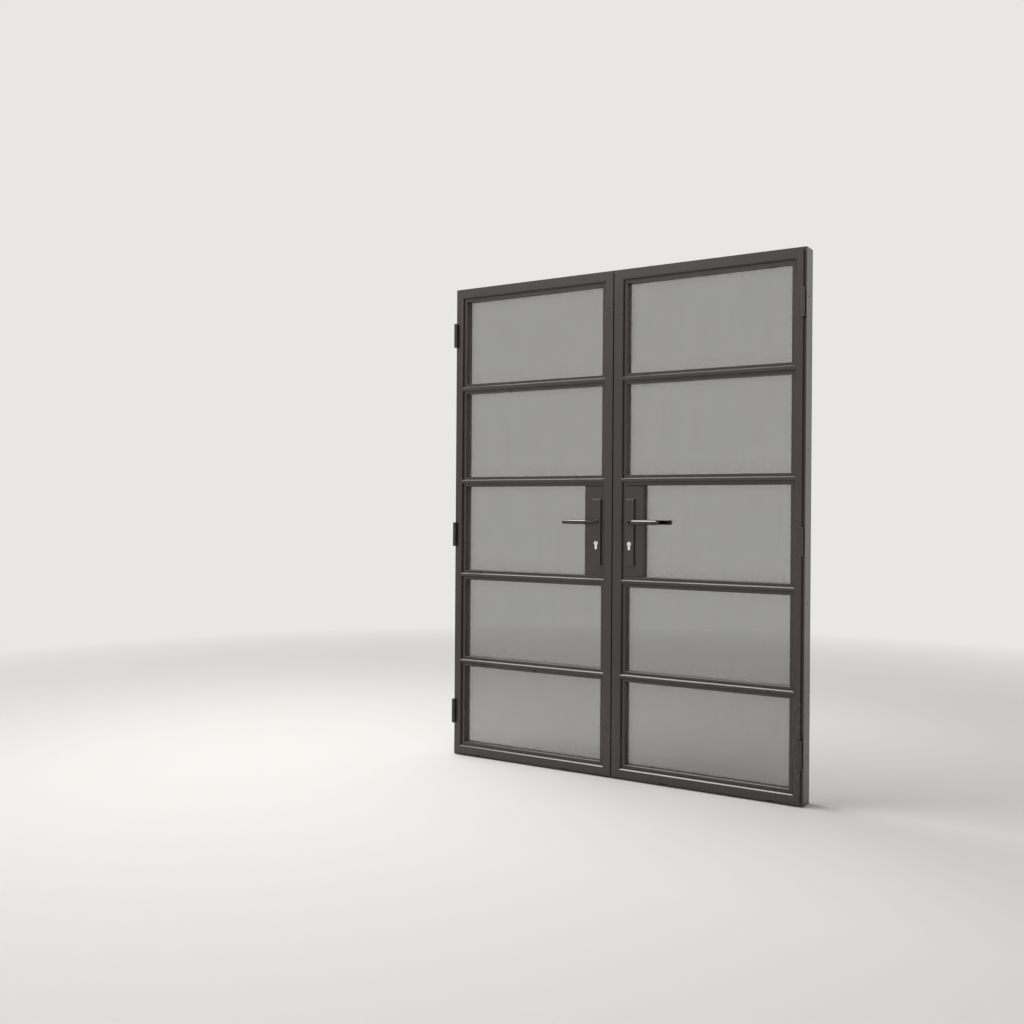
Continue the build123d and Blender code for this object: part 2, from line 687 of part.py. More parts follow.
frame_halves = [hinge_knuckles(z, False) for z in hinge_heights]
pieces["hinge_frame_halves"] = frame_halves + [left(h) for h in frame_halves]
pins = [hinge_pin(z) for z in hinge_heights]
pieces["hinge_pins"] = pins + [left(p) for p in pins]

# Leaves: the right one is built and the left one is its mirror image, apart from the bolts
cavities = lock_cavities()
stile = leaf_member("left")
stile_lock = stile - cavities
for z in deadbolt_heights:
    stile_lock -= slot_for_bolt(z, body_edge - leaf_wall / 2, body_edge + 2 * leaf_wall)
rail_top, rail_bottom = leaf_member("top"), leaf_member("bottom")
panel = lock_panel() - cavities
past = (-through, leaf_depth + through)
panel -= rod_y(axis_x, lever_height, *past, lever_diameter / 2 + part_clearance)
panel -= euro_profile(*past, part_clearance)
for z in screw_heights:
    panel -= rod_y(axis_x, z, *past, screw_hole / 2)
rects = lite_rects()
leaf = {
    "stile_hinge": [leaf_member("right")],
    "stile_lock": [stile_lock],
    "rail_top": [rail_top],
    "rail_bottom": [rail_bottom],
    "spacers": [spacer(r) for r in rects],
    "glazing_gaskets": [p for r in rects for p in glazing_gasket(r)],
    "glazing_beads": [p for r in rects for p in glazing_bead(r)],
    "lock_panel": [panel],
    "backplates": backplates() + plate_screws(),
    "lever": lever_set(),
    "key_cylinder": [key_cylinder()],
    "key_plug": [key_plug()],
    "hinge_halves": [hinge_knuckles(z, True) for z in hinge_heights],
}
for number, z in enumerate(bar_heights, 1):
    leaf[f"bar_{number}"] = [glazing_bar(z)]
for number, rect in enumerate(rects, 1):
    leaf[f"glass_{number}"] = glass_unit(rect)
for name, solids in leaf.items():
    pieces[f"right_{name}"] = solids
    pieces[f"left_{name}"] = [left(s) for s in solids]

# Pieces that differ between the leaves
for name in ("rail_top", "rail_bottom"):
    z = leaf_top - edge_rebate if name == "rail_top" else leaf_bottom + edge_rebate
    pieces[f"left_{name}"] = [pieces[f"left_{name}"][0] - shoot_hole(z)]
pieces["right_lock"] = lock_assembly(False)
pieces["left_lock"] = [left(p) for p in lock_assembly(True)]
pieces["right_deadbolts"] = deadbolts()
pieces["right_latch"] = [latch_bolt()]
rod_ends = (leaf_bottom + edge_rebate + shoot_recess, leaf_top - edge_rebate - shoot_recess)
rod_low = (rod_ends[0], case_bottom - rod_from_case)
rod_top = (case_top + rod_from_case, rod_ends[1])
for name, ends in (("top", rod_top), ("bottom", rod_low)):
    pieces[f"left_bolt_{name}"] = [rod_z(-shoot_x, bolt_centre_depth, *ends, shoot_diameter / 2)]
pieces["right_meeting_seal"] = [meeting_seal(seal_reach_right)]
pieces["left_meeting_seal"] = [left(meeting_seal(seal_reach_left))]

os.makedirs("parts", exist_ok=True)
for name, solids in pieces.items():
    shape = solids[0] if len(solids) == 1 else Compound(children=[s for s in solids])
    export_step(shape, f"parts/{name}.step")
print(len(pieces), "nodes")
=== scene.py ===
import json
import math

import bmesh
import bpy
from mathutils import Matrix, Vector


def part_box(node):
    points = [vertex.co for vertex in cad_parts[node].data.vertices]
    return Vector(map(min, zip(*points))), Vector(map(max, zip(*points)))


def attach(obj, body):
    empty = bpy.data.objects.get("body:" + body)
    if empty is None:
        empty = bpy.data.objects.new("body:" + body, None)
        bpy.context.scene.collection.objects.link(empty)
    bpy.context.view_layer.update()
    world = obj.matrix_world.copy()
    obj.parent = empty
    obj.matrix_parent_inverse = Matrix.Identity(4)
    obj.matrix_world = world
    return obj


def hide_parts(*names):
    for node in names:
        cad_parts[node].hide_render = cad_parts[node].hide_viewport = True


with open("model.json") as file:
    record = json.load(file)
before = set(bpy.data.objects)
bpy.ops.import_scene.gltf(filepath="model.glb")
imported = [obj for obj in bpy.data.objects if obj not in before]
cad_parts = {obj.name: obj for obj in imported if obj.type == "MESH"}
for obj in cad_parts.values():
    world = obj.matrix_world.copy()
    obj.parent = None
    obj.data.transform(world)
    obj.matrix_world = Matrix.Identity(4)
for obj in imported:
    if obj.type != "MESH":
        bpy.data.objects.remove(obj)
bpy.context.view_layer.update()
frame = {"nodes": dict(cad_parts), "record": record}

# A pair of glazed metal doors with their frame. Metres; +X along the opening, -Y outside, +Z up.
nodes = frame["nodes"]
sides = {"left": -1, "right": 1}
leafFace = 46.5  # mm from the middle of the frame's depth out to the outer face of the leaves


def leafY(depth):
    return (depth - leafFace) / 1000  # depth in mm behind the outer face of the leaves


cameraSettings = {
    "place": (1.9075, -3.8122, 1.0530),
    "yaw": 32.2271,  # turned to the left of straight ahead, degrees
    "pitch": -0.1,
    "roll": 0.3863,
    "lens": 37.58,
    "sensor": 36.0,
}


def makeCamera(s):
    yaw, pitch, roll = (math.radians(s[key]) for key in ("yaw", "pitch", "roll"))
    level = Vector((math.cos(yaw), math.sin(yaw), 0))
    ahead = Vector((-math.sin(yaw), math.cos(yaw), 0))
    forward = ahead * math.cos(pitch) + Vector((0, 0, math.sin(pitch)))
    above = level.cross(forward)
    right = level * math.cos(roll) + above * math.sin(roll)
    up = above * math.cos(roll) - level * math.sin(roll)
    camera = bpy.data.objects.new("camera", bpy.data.cameras.new("camera"))
    camera.data.lens = s["lens"]
    camera.data.sensor_width = s["sensor"]
    turn = Matrix((right, up, -forward)).transposed().to_4x4()
    camera.matrix_world = Matrix.Translation(s["place"]) @ turn
    bpy.context.scene.collection.objects.link(camera)
    bpy.context.scene.camera = camera


makeCamera(cameraSettings)
print("camera set")


# Colours and nodes

def linear(colour):
    # sRGB hex to linear, by the usual two-part curve
    parts = [int(colour[i:i + 2], 16) / 255 for i in (1, 3, 5)]
    return tuple(c / 12.92 if c <= 0.04045 else ((c + 0.055) / 1.055) ** 2.4 for c in parts) + (1.0,)


def addNode(tree, kind, values=None, links=None, **options):
    node = tree.nodes.new(kind)
    for key, value in options.items():
        setattr(node, key, value)
    for key, value in (values or {}).items():
        node.inputs[key].default_value = value
    for key, source in (links or {}).items():
        tree.links.new(source, node.inputs[key])
    return node


def mixColour(tree, amount, first, second):
    values, links = {}, {}
    for key, item in ((0, amount), (6, first), (7, second)):
        (links if isinstance(item, bpy.types.NodeSocket) else values)[key] = item
    return addNode(tree, "ShaderNodeMix", values, links, data_type="RGBA").outputs[2]


def maths(tree, operation, *items):
    values, links = {}, {}
    for key, item in enumerate(items):
        (links if isinstance(item, bpy.types.NodeSocket) else values)[key] = item
    return addNode(tree, "ShaderNodeMath", values, links, operation=operation).outputs[0]


def ramp(tree, source, span, to=(0.0, 1.0)):
    # Straight slope from to[0] at span[0] to to[1] at span[1], level beyond them
    values = {"From Min": span[0], "From Max": span[1], "To Min": to[0], "To Max": to[1]}
    return addNode(tree, "ShaderNodeMapRange", values, {"Value": source}).outputs["Result"]


def cloud(tree, coords, size, detail=3.0, stretch=(1.0, 1.0, 1.0)):
    # Noise whose blots are about that many metres across
    placed = addNode(tree, "ShaderNodeMapping", {"Scale": stretch}, {"Vector": coords}).outputs[0]
    values = {"Scale": 1.0 / size, "Detail": detail, "Roughness": 0.55}
    return addNode(tree, "ShaderNodeTexNoise", values, {"Vector": placed}).outputs[0]


def newMaterial(name):
    material = bpy.data.materials.new(name)
    material.use_nodes = True
    tree = material.node_tree
    tree.nodes.clear()
    output = tree.nodes.new("ShaderNodeOutputMaterial")
    shader = tree.nodes.new("ShaderNodeBsdfPrincipled")
    tree.links.new(shader.outputs[0], output.inputs["Surface"])
    coords = addNode(tree, "ShaderNodeTexCoord").outputs["Object"]
    return material, tree, shader, coords


def showMixed(tree, amount, first, second):
    # Puts a blend of two shaders on the material's output
    mixed = addNode(tree, "ShaderNodeMixShader", links={0: amount, 1: first.outputs[0], 2: second.outputs[0]})
    output = next(n for n in tree.nodes if n.type == "OUTPUT_MATERIAL")
    tree.links.new(mixed.outputs[0], output.inputs["Surface"])


profileCoat = {
    "dark": "#2a2220", "pale": "#302725",
    "blot": 0.35, "blotSpan": (0.35, 0.65),            # soft change of tone along a bar
    "dust": "#8f867d",
    "patch": 0.022, "patchSpan": (0.22, 0.78),         # where dust and rubbed edges come and go
    "ledgeDust": 0.07, "ledgeSlope": (0.35, 0.95),     # from how far a face looks up
    "footDust": 0.05, "footHeight": (0.34, 0.02),
    "streakDust": 0.01, "streak": 0.016, "streakStretch": (1, 1, 0.06), "streakSpan": (0.52, 0.72),
    "edge": "#4a423e", "edgeRadius": 0.0006, "edgeTurn": (0.995, 0.90), "edgeRub": 0.4,
    "roughness": (0.265, 0.30), "gloss": 0.14, "glossSpan": (0.2, 0.8), "dustDull": 0.2,
    "shine": 0.7,            # a little more than plain lacquer, for the metallic flakes in the coat
    "grain": 0.0022,         # drawn coarser than the real 0.5 mm orange peel, so that it shows
    "grainDepth": 0.0004, "bump": 0.02,
}
plateCoat = dict(profileCoat, dark="#2c2422", pale="#322927", blot=0.08, ledgeDust=0.08, footDust=0.0,
                 roughness=(0.25, 0.29), grain=0.0018)
# Hinge colours drawn darker than the frame's coat, which the hinges share: painted shade on the hinges
hingeCoatWithPaintedShade = dict(plateCoat, dark="#1e1917", pale="#25201e", edge="#3e3835", roughness=(0.30, 0.38))


def powderCoat(name, s):
    # Polyester powder coat on aluminium: an even satin with faint orange peel, paler where edges are rubbed
    # and where dust lies on ledges and near the ground
    material, tree, shader, coords = newMaterial(name)
    geometry = tree.nodes.new("ShaderNodeNewGeometry")
    facing = addNode(tree, "ShaderNodeSeparateXYZ", links={0: geometry.outputs["Normal"]}).outputs
    height = addNode(tree, "ShaderNodeSeparateXYZ", links={0: coords}).outputs[2]
    tone = ramp(tree, cloud(tree, coords, s["blot"]), s["blotSpan"])
    coat = mixColour(tree, tone, linear(s["dark"]), linear(s["pale"]))

    patches = ramp(tree, cloud(tree, coords, s["patch"]), s["patchSpan"])
    ledge = ramp(tree, facing[2], s["ledgeSlope"], (0, s["ledgeDust"]))
    foot = ramp(tree, height, s["footHeight"], (0, s["footDust"]))
    lying = maths(tree, "ADD", maths(tree, "MULTIPLY", ledge, patches), maths(tree, "MULTIPLY", foot, patches))
    streaks = cloud(tree, coords, s["streak"], stretch=s["streakStretch"])
    dust = maths(tree, "ADD", lying, ramp(tree, streaks, s["streakSpan"], (0, s["streakDust"])))

    rounded = addNode(tree, "ShaderNodeBevel", {"Radius": s["edgeRadius"]}, samples=8).outputs[0]
    between = addNode(tree, "ShaderNodeVectorMath", links={0: rounded, 1: geometry.outputs["Normal"]},
                      operation="DOT_PRODUCT").outputs["Value"]
    rubbed = maths(tree, "MULTIPLY", ramp(tree, between, s["edgeTurn"], (0, s["edgeRub"])), patches)
    coat = mixColour(tree, rubbed, coat, linear(s["edge"]))
    tree.links.new(mixColour(tree, dust, coat, linear(s["dust"])), shader.inputs["Base Color"])

    gloss = ramp(tree, cloud(tree, coords, s["gloss"], detail=1.0), s["glossSpan"], s["roughness"])
    dull = maths(tree, "MULTIPLY", dust, s["dustDull"])
    tree.links.new(maths(tree, "ADD", gloss, dull), shader.inputs["Roughness"])
    bump = addNode(tree, "ShaderNodeBump", {"Strength": s["bump"], "Distance": s["grainDepth"]},
                   {"Height": cloud(tree, coords, s["grain"], detail=1.0)})
    tree.links.new(bump.outputs[0], shader.inputs["Normal"])
    shader.inputs["Specular IOR Level"].default_value = s["shine"]
    return material


leverMetal = {
    "base": "#302b28",
    "rub": "#4c4641", "rubShare": 0.35, "rubSpan": (0.35, 0.7),
    "smear": 0.018, "smearSpan": (0.3, 0.7), "roughness": (0.15, 0.24),
    "hair": 0.0009, "hairStretch": (0.04, 1, 1), "hairSpan": (0.5, 0.8), "hairDull": 0.05,
    "hairDepth": 0.0001, "bump": 0.05,
    "lacquer": 0.07,         # roughness of the clear coat
}


def blackNickel(name, s):
    # Dark plated brass, polished and lacquered: mirrors softly, with hair lines along the grip
    material, tree, shader, coords = newMaterial(name)
    hairs = cloud(tree, coords, s["hair"], detail=2.0, stretch=s["hairStretch"])
    smears = cloud(tree, coords, s["smear"])
    tone = maths(tree, "MULTIPLY", ramp(tree, smears, s["rubSpan"]), s["rubShare"])
    tree.links.new(mixColour(tree, tone, linear(s["base"]), linear(s["rub"])), shader.inputs["Base Color"])
    gloss = maths(tree, "ADD", ramp(tree, smears, s["smearSpan"], s["roughness"]),
                  ramp(tree, hairs, s["hairSpan"], (0, s["hairDull"])))
    tree.links.new(gloss, shader.inputs["Roughness"])
    bump = addNode(tree, "ShaderNodeBump", {"Strength": s["bump"], "Distance": s["hairDepth"]},
                   {"Height": hairs})
    tree.links.new(bump.outputs[0], shader.inputs["Normal"])
    shader.inputs["Metallic"].default_value = 1.0
    shader.inputs["Coat Weight"].default_value = 1.0
    shader.inputs["Coat Roughness"].default_value = s["lacquer"]
    return material


cylinderMetal = {
    "base": "#f4f2ec",
    "worn": "#dedad0", "wear": 0.004, "wearSpan": (0.45, 0.7), "roughness": (0.24, 0.36),
    "axisX": 0.0727, "axisZ": 0.924,  # middle of a plug
    "ring": 0.0009, "wobble": 0.6, "ringDepth": 0.0001, "bump": 0.12,
}
wavePitch = 0.314  # metres from ring to ring in a wave texture of scale 1


def satinNickel(name, s):
    # Nickel-plated brass, faced on a lathe: fine rings round the keyway, a little duller where keys rub
    material, tree, shader, coords = newMaterial(name)
    parts = addNode(tree, "ShaderNodeSeparateXYZ", links={0: coords}).outputs
    across = maths(tree, "SUBTRACT", maths(tree, "ABSOLUTE", parts[0]), s["axisX"])
    along = maths(tree, "SUBTRACT", parts[2], s["axisZ"])
    flat = addNode(tree, "ShaderNodeCombineXYZ", links={0: across, 1: along}).outputs[0]
    rings = addNode(tree, "ShaderNodeTexWave", {"Scale": wavePitch / s["ring"], "Distortion": s["wobble"]},
                    {"Vector": flat}, wave_type="RINGS", rings_direction="SPHERICAL").outputs["Fac"]
    wear = ramp(tree, cloud(tree, coords, s["wear"]), s["wearSpan"])
    tree.links.new(mixColour(tree, wear, linear(s["base"]), linear(s["worn"])), shader.inputs["Base Color"])
    tree.links.new(ramp(tree, wear, (0, 1), s["roughness"]), shader.inputs["Roughness"])
    bump = addNode(tree, "ShaderNodeBump", {"Strength": s["bump"], "Distance": s["ringDepth"]},
                   {"Height": rings})
    tree.links.new(bump.outputs[0], shader.inputs["Normal"])
    shader.inputs["Metallic"].default_value = 1.0
    return material


steelFinish = {
    "base": "#a9abab", "tinge": "#b5ab92", "blot": 0.03, "blotSpan": (0.4, 0.7),
    "spangle": 0.006, "roughness": (0.30, 0.48), "spangleDepth": 0.0002, "bump": 0.05,
}
pinFinish = dict(steelFinish, base="#6c6864", tinge="#4e4a46", spangle=0.004, roughness=(0.28, 0.45))


def zincPlate(name, s):
    # Bright zinc on steel: cool grey with a straw tinge, its crystals just showing in the gloss
    material, tree, shader, coords = newMaterial(name)
    tinge = ramp(tree, cloud(tree, coords, s["blot"]), s["blotSpan"])
    tree.links.new(mixColour(tree, tinge, linear(s["base"]), linear(s["tinge"])), shader.inputs["Base Color"])
    crystals = addNode(tree, "ShaderNodeTexVoronoi", {"Scale": 1 / s["spangle"]}, {"Vector": coords})
    shade = addNode(tree, "ShaderNodeSeparateColor", links={0: crystals.outputs["Color"]}).outputs[0]
    tree.links.new(ramp(tree, shade, (0, 1), s["roughness"]), shader.inputs["Roughness"])
    bump = addNode(tree, "ShaderNodeBump", {"Strength": s["bump"], "Distance": s["spangleDepth"]},
                   {"Height": shade})
    tree.links.new(bump.outputs[0], shader.inputs["Normal"])
    shader.inputs["Metallic"].default_value = 1.0
    return material


spacerFinish = {
    "base": "#8d8f8e", "rolled": "#7b7d7d", "rolledShare": 0.3, "blot": 0.01, "blotSpan": (0.3, 0.7),
    # the slots' dark colour is painted shade for the hollow inside the bar, not the bar's own colour
    "slotPaintedShade": "#2b2b2a", "halfPitch": 0.006, "slotShare": 0.45, "slotHalfWidth": 0.0005,
    "middle": leafY(43.9), "row": 0.004,  # a row of slots 4 mm to each side of the middle
    "roughness": 0.5, "metallic": 0.6,
}


def perforatedBar(name, s):
    # Rolled aluminium spacer bar: matt grey with two rows of tiny slots for the drying agent, coloured dark as
    # painted shade for the hollow behind them
    material, tree, shader, coords = newMaterial(name)
    geometry = tree.nodes.new("ShaderNodeNewGeometry")
    facing = addNode(tree, "ShaderNodeSeparateXYZ", links={0: geometry.outputs["Normal"]}).outputs
    parts = addNode(tree, "ShaderNodeSeparateXYZ", links={0: coords}).outputs
    level = maths(tree, "GREATER_THAN", maths(tree, "ABSOLUTE", facing[2]), 0.5)  # 1 where a bar lies level
    run = addNode(tree, "ShaderNodeMix", links={0: level, 2: parts[2], 3: parts[0]}).outputs[0]
    place = maths(tree, "PINGPONG", run, s["halfPitch"])
    slot = maths(tree, "LESS_THAN", place, s["halfPitch"] * s["slotShare"])
    fromMiddle = maths(tree, "ABSOLUTE", maths(tree, "SUBTRACT", parts[1], s["middle"]))
    fromRow = maths(tree, "ABSOLUTE", maths(tree, "SUBTRACT", fromMiddle, s["row"]))
    # Slots are not cut: painted shade colours them dark
    slotPaintedShade = maths(tree, "MULTIPLY", slot, maths(tree, "LESS_THAN", fromRow, s["slotHalfWidth"]))
    blots = ramp(tree, cloud(tree, coords, s["blot"], detail=2.0), s["blotSpan"], (0, s["rolledShare"]))
    rolled = mixColour(tree, blots, linear(s["base"]), linear(s["rolled"]))
    tree.links.new(mixColour(tree, slotPaintedShade, rolled, linear(s["slotPaintedShade"])), shader.inputs["Base Color"])
    shader.inputs["Roughness"].default_value = s["roughness"]
    shader.inputs["Metallic"].default_value = s["metallic"]
    return material


rubberFinish = {
    "base": "#1b1a1a", "bloom": "#3b3937", "bloomShare": 0.5, "blot": 0.035, "blotSpan": (0.45, 0.75),
    "grain": 0.0012, "grainSpan": (0.3, 0.7), "roughness": (0.55, 0.72), "grainDepth": 0.0002, "bump": 0.15,
}
nylonFinish = dict(rubberFinish, base="#2a2927", bloom="#45423f", grain=0.002)


def blackRubber(name, s):
    # Extruded synthetic rubber: matt black with a faint grey bloom and draw lines
    material, tree, shader, coords = newMaterial(name)
    bloom = ramp(tree, cloud(tree, coords, s["blot"]), s["blotSpan"], (0, s["bloomShare"]))
    tree.links.new(mixColour(tree, bloom, linear(s["base"]), linear(s["bloom"])), shader.inputs["Base Color"])
    grain = cloud(tree, coords, s["grain"], detail=2.0)
    tree.links.new(ramp(tree, grain, s["grainSpan"], s["roughness"]), shader.inputs["Roughness"])
    bump = addNode(tree, "ShaderNodeBump", {"Strength": s["bump"], "Distance": s["grainDepth"]},
                   {"Height": grain})
    tree.links.new(bump.outputs[0], shader.inputs["Normal"])
    return material


glassFinish = {
    "tint": "#cccccd",       # faint grey of coated float glass
    "shadow": "#e9ebea",     # what a shadow ray keeps as it passes
    "ior": 1.5,
    "haze": 0.09, "hazeSpan": (0.4, 0.7), "roughness": (0.0, 0.02),
    "dust": "#b9b4aa", "film": 0.10,
    "hidden": 0.010,         # metres of film behind the section
    "fade": 0.030,           # metres over which the film fades out from there
    "sill": 0.6,             # below 1, the film reaches further up from the bottom edge
    "speck": 0.012, "speckSpan": (0.40, 0.62),
    "run": 0.02, "runStretch": (1, 1, 0.08), "runSpan": (0.50, 0.72), "runShare": 0.25,
}
edgeLayers = ("fromLow", "fromHigh")  # UV maps that hold the way to a pane's low and high edges


def floatGlass(name, s):
    # Clear coated float glass: mirrors softly, with a thin film of dust that the rain leaves near the edges
    material, tree, shader, coords = newMaterial(name)
    maps = [addNode(tree, "ShaderNodeUVMap", uv_map=layer).outputs[0] for layer in edgeLayers]
    low, high = (addNode(tree, "ShaderNodeSeparateXYZ", links={0: way}).outputs for way in maps)
    sideways = maths(tree, "MINIMUM", low[0], high[0])
    upright = maths(tree, "MINIMUM", maths(tree, "MULTIPLY", low[1], s["sill"]), high[1])
    nearest = maths(tree, "MINIMUM", sideways, upright)
    film = ramp(tree, nearest, (s["hidden"], s["hidden"] + s["fade"]), (1, 0))
    specks = ramp(tree, cloud(tree, coords, s["speck"], detail=5.0), s["speckSpan"])
    streaks = cloud(tree, coords, s["run"], detail=4.0, stretch=s["runStretch"])
    runs = ramp(tree, streaks, s["runSpan"], (0, s["runShare"]))
    soil = maths(tree, "ADD", maths(tree, "MULTIPLY", film, specks), runs)

    haze = ramp(tree, cloud(tree, coords, s["haze"], detail=4.0), s["hazeSpan"], s["roughness"])
    tree.links.new(haze, shader.inputs["Roughness"])
    shader.inputs["Transmission Weight"].default_value = 1.0
    shader.inputs["IOR"].default_value = s["ior"]
    shader.inputs["Base Color"].default_value = linear(s["tint"])
    dusty = addNode(tree, "ShaderNodeBsdfDiffuse", {"Color": linear(s["dust"])})
    amount = maths(tree, "MULTIPLY", soil, s["film"])
    soiled = addNode(tree, "ShaderNodeMixShader", links={0: amount, 1: shader.outputs[0], 2: dusty.outputs[0]})
    clear = addNode(tree, "ShaderNodeBsdfTransparent", {"Color": linear(s["shadow"])})
    showMixed(tree, tree.nodes.new("ShaderNodeLightPath").outputs["Is Shadow Ray"], soiled, clear)
    return material


finishes = {
    "profile": powderCoat("satinPowderCoat", profileCoat),
    "plate": powderCoat("satinPlateCoat", plateCoat),
    "hinge": powderCoat("satinHingeCoatPaintedShade", hingeCoatWithPaintedShade),
    "lever": blackNickel("blackNickelPlate", leverMetal),
    "cylinder": satinNickel("satinNickelPlate", cylinderMetal),
    "lock_steel": zincPlate("zincPlatedSteel", steelFinish),
    "pin": zincPlate("darkenedSteel", pinFinish),
    "spacer": perforatedBar("rolledSpacerBar", spacerFinish),
    "gasket": blackRubber("blackRubber", rubberFinish),
    "glass": floatGlass("floatGlass", glassFinish),
}
nylon = blackRubber("blackNylon", nylonFinish)

for part in frame["record"]["subparts"]:
    node = nodes[part["node"]]
    finish = finishes[part["material_slot"]]
    if not node.material_slots:
        node.data.materials.append(finish)
    for place in node.material_slots:
        place.material = finish
print("finishes given to", len(nodes), "nodes")


# Mesh helpers

def makePiece(name, mesh, body, material):
    piece = bpy.data.objects.new(name, mesh)
    bpy.context.scene.collection.objects.link(piece)
    mesh.materials.clear()
    mesh.materials.append(material)
    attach(piece, body)
    return piece


def bmeshToMesh(name, work):
    bmesh.ops.remove_doubles(work, verts=work.verts, dist=1e-6)
    bmesh.ops.recalc_face_normals(work, faces=work.faces)
    mesh = bpy.data.meshes.new(name)
    work.to_mesh(mesh)
    work.free()
    return mesh


def addBlock(work, centre, size):
    shape = Matrix.Translation(centre) @ Matrix.Diagonal((*size, 1))
    return bmesh.ops.create_cube(work, size=1.0, matrix=shape)["verts"]


def joinLoops(work, here, there):
    # Band of faces between two loops of as many corners
    for k in range(len(here)):
        n = (k + 1) % len(here)
        work.faces.new((here[k], here[n], there[n], there[k]))


def closeRing(work, loops):
    for here, there in zip(loops, loops[1:] + loops[:1]):
        joinLoops(work, here, there)


def closeRod(work, loops):
    for here, there in zip(loops, loops[1:]):
        joinLoops(work, here, there)
    work.faces.new(loops[0])
    work.faces.new(loops[-1])


def sweepRing(work, rect, outline):
    # Section (inward offset, y) carried round a rectangle with mitred corners
    x0, x1, z0, z1 = rect
    corners = ((x0, z0, 1, 1), (x1, z0, -1, 1), (x1, z1, -1, -1), (x0, z1, 1, -1))
    closeRing(work, [[work.verts.new((x + sx * u, y, z + sz * u)) for u, y in outline]
                     for x, z, sx, sz in corners])


def arcPoints(centre, radius, first, last, count):
    turns = [math.radians(first + (last - first) * i / count) for i in range(count + 1)]
    return [(centre[0] + radius * math.cos(t), centre[1] + radius * math.sin(t)) for t in turns]


# Glass

paneSettings = {
    "front": (33.9, 37.9), "back": (49.9, 53.9),
    "arris": 0.0006,
    "cover": 0.0105,         # glass hidden behind the section
    "count": 5,
}
lites = {side: [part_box(f"{side}_glass_{i}") for i in range(1, paneSettings["count"] + 1)] for side in sides}


def sightRect(corners, cover):
    low, high = corners
    return low.x + cover, high.x - cover, low.z + cover, high.z - cover


def makePane(work, corners, depths, arris):
    low, high = corners
    y0, y1 = (leafY(d) for d in depths)
    verts = addBlock(work, ((low.x + high.x) / 2, (y0 + y1) / 2, (low.z + high.z) / 2),
                     (high.x - low.x, y1 - y0, high.z - low.z))
    edges = dict.fromkeys(e for v in verts for e in v.link_edges)
    bmesh.ops.bevel(work, geom=list(edges), offset=arris, segments=1, affect="EDGES")


def mapEdges(work, corners):
    low, high = corners
    fromLow, fromHigh = (work.loops.layers.uv.new(name) for name in edgeLayers)
    for face in work.faces:
        for loop in face.loops:
            x, z = loop.vert.co.x, loop.vert.co.z
            loop[fromLow].uv = (x - low.x, z - low.z)
            loop[fromHigh].uv = (high.x - x, high.z - z)


for side in sides:
    for number, corners in enumerate(lites[side], 1):
        work = bmesh.new()
        for pane in ("front", "back"):
            makePane(work, corners, paneSettings[pane], paneSettings["arris"])
        mapEdges(work, corners)
        mesh = bmeshToMesh(f"{side}Glass{number}", work)
        piece = makePiece(f"{side}Glass{number}", mesh, f"{side}_leaf", finishes["glass"])
        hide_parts(f"{side}_glass_{number}")
print("glass made")


# Rubber seals

glazingSeal = {
    "cover": 0.0125, "round": 3,
    "front": (33.0, 33.9), "frontNose": 0.0005,
    "back": (53.9, 54.7), "backNose": -0.0025,
}


def lipOutline(s, place):
    # Flat strip whose inner edge is rounded to a soft nose
    y0, y1 = (leafY(d) for d in s[place])
    radius = (y1 - y0) / 2
    nose = arcPoints((s[place + "Nose"] - radius, y0 + radius), radius, -90, 90, 2 * s["round"])
    return [(-s["cover"], y0)] + nose + [(-s["cover"], y1)]


def makeGlazingSeal(side, s):
    work = bmesh.new()
    for corners in lites[side]:
        for place in ("front", "back"):
            sweepRing(work, sightRect(corners, paneSettings["cover"]), lipOutline(s, place))
    mesh = bmeshToMesh(f"{side}GlazingSeal", work)
    piece = makePiece(f"{side}GlazingSeal", mesh, f"{side}_leaf", finishes["gasket"])
    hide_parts(f"{side}_glazing_gaskets")


meetingLip = {  # mm, X outwards from the middle of the opening
    "depth": (13.5, 21.5), "edge": 5.4, "root": 3.4, "tip": {"left": 0.1, "right": 0.7},
    "ease": 0.3, "neckHalf": 1.6, "slope": 0.5, "slopeHalf": 0.7, "tipHalf": 0.3,
}


def makeMeetingSeal(side, sign, s):
    # Root against the stile's edge and a lip that thins towards the other leaf
    d0, d1 = s["depth"]
    middle, half = (d0 + d1) / 2, (d1 - d0) / 2
    root, tip = s["root"], s["tip"][side]
    flank = [(s["edge"], half), (root, half - s["ease"]), (root - s["ease"], s["neckHalf"]),
             (tip + s["slope"], s["slopeHalf"]), (tip, s["tipHalf"])]
    outline = [(x, middle + away) for x, away in flank] + [(x, middle - away) for x, away in reversed(flank)]
    low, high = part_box(f"{side}_meeting_seal")
    work = bmesh.new()
    closeRod(work, [[work.verts.new((sign * x / 1000, leafY(d), z)) for x, d in outline]
                    for z in (low.z, high.z)])
    mesh = bmeshToMesh(f"{side}MeetingSeal", work)
    piece = makePiece(f"{side}MeetingSeal", mesh, f"{side}_leaf", finishes["gasket"])
    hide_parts(f"{side}_meeting_seal")


frameBulb = {
    "width": 0.007, "base": 67.5, "top": 66.1,
    "side": 0.25, "spring": 0.35,  # shares of the height
    "margin": 0.16,                # share of the width
    "steps": 6,
}


